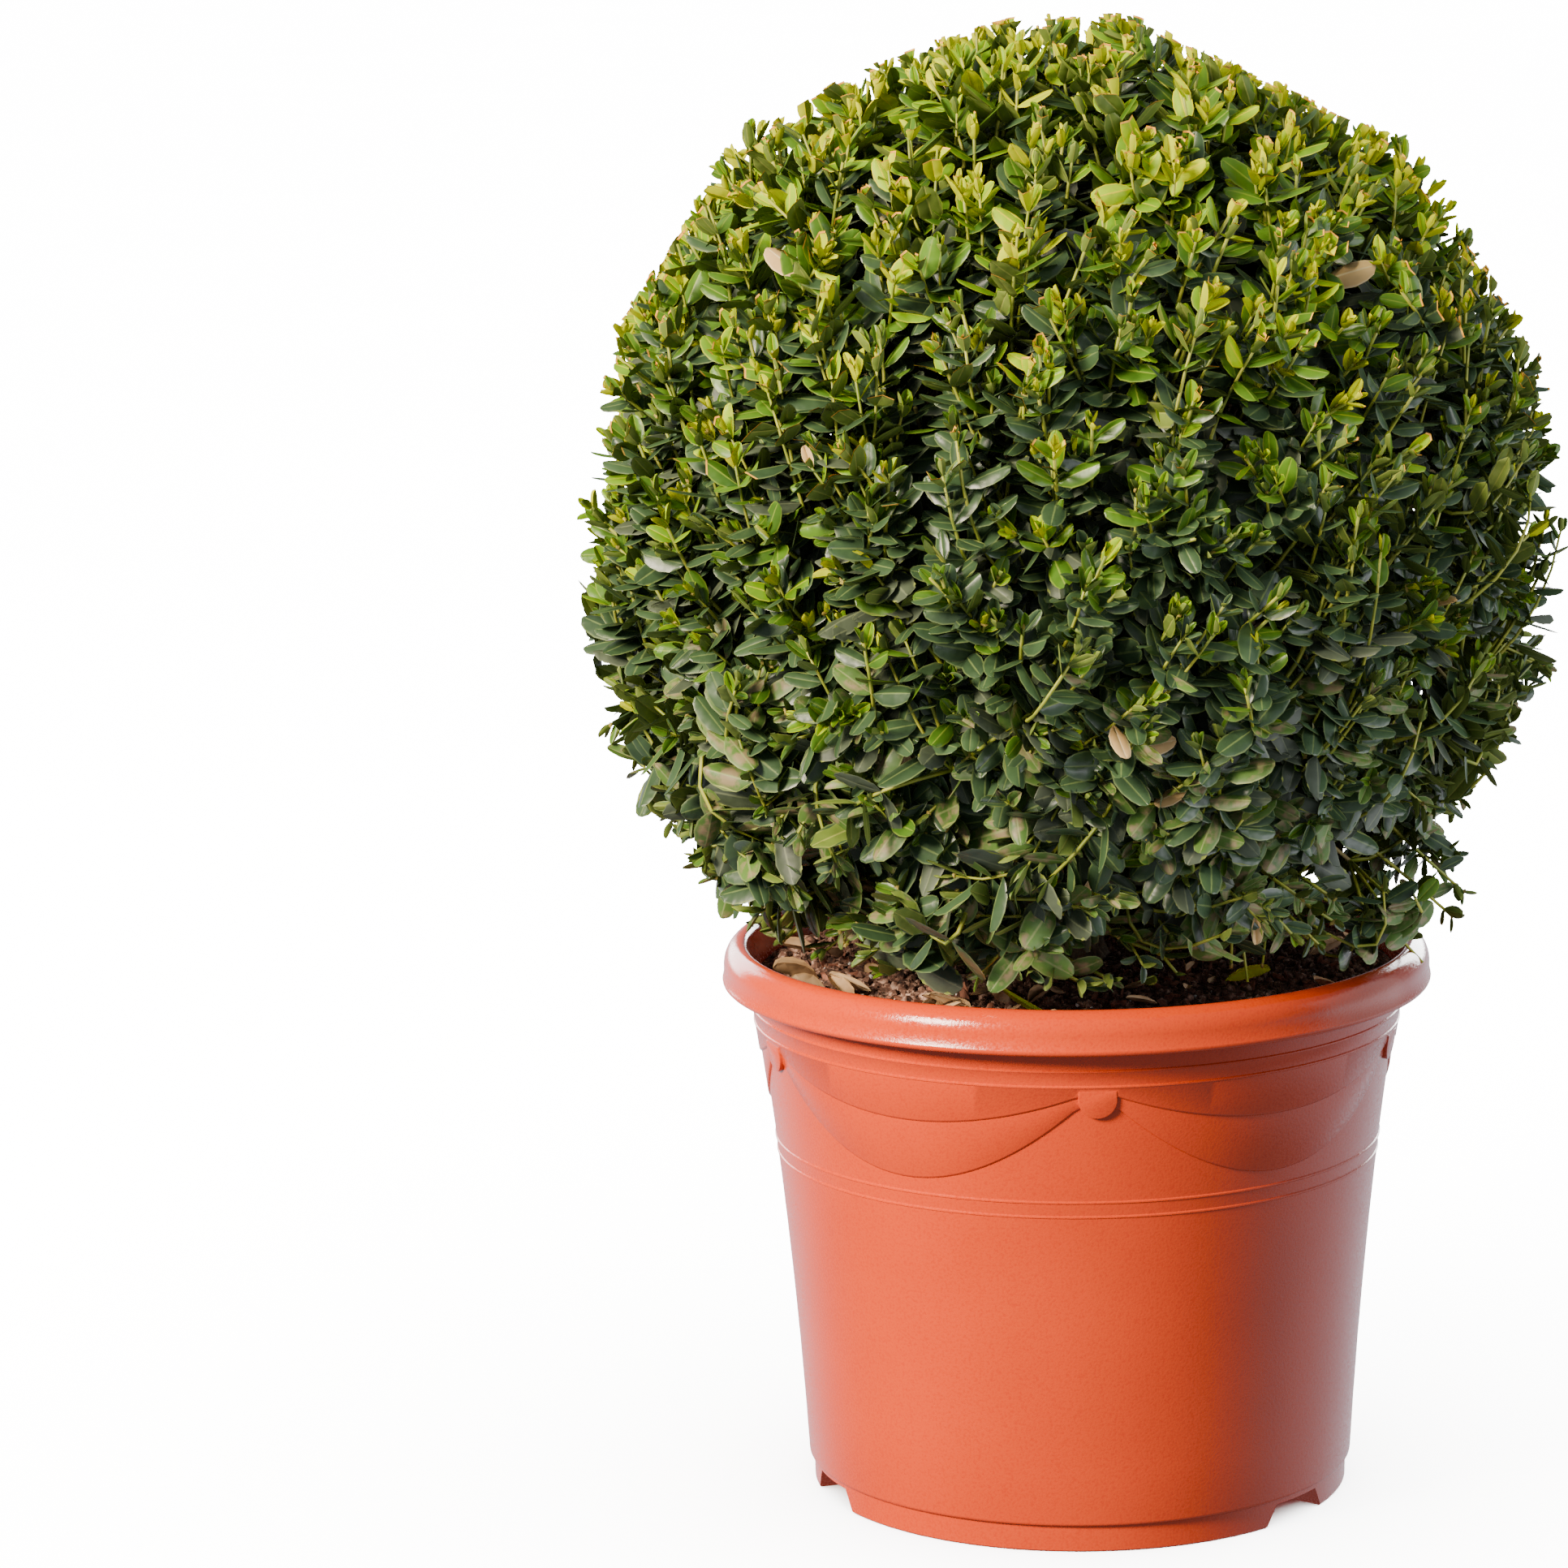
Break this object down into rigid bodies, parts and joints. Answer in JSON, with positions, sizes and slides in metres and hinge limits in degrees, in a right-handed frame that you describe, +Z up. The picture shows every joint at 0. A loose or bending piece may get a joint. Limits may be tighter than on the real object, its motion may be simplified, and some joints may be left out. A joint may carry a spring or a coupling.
{
  "type": "potted box topiary ball",
  "caption": "Clipped box ball on a short hidden trunk, growing in a round orange plastic nursery pot with moulded swags, a rolled lip and a notched foot.",
  "frame": {"origin": "centre of the pot's footprint, on the ground plane that the foot ring stands on", "axes": "+Z up along the plant's axis; -Y is the front, the side that the picture shows; +X to the right of it"},
  "size_m": [0.4699, 0.459, 0.7038],
  "materials": {
    "pot": "satin",
    "compost": "matte",
    "bark": "matte",
    "foliage": "satin"
  },
  "bodies": {
    "root": {"pot": "pot", "soil": "compost", "trunk": "bark", "bough_leader": "bark", "bough_1": "bark", "bough_2": "bark", "bough_3": "bark", "bough_4": "bark", "bough_5": "bark", "crown": "foliage"}
  },
  "joints": []
}
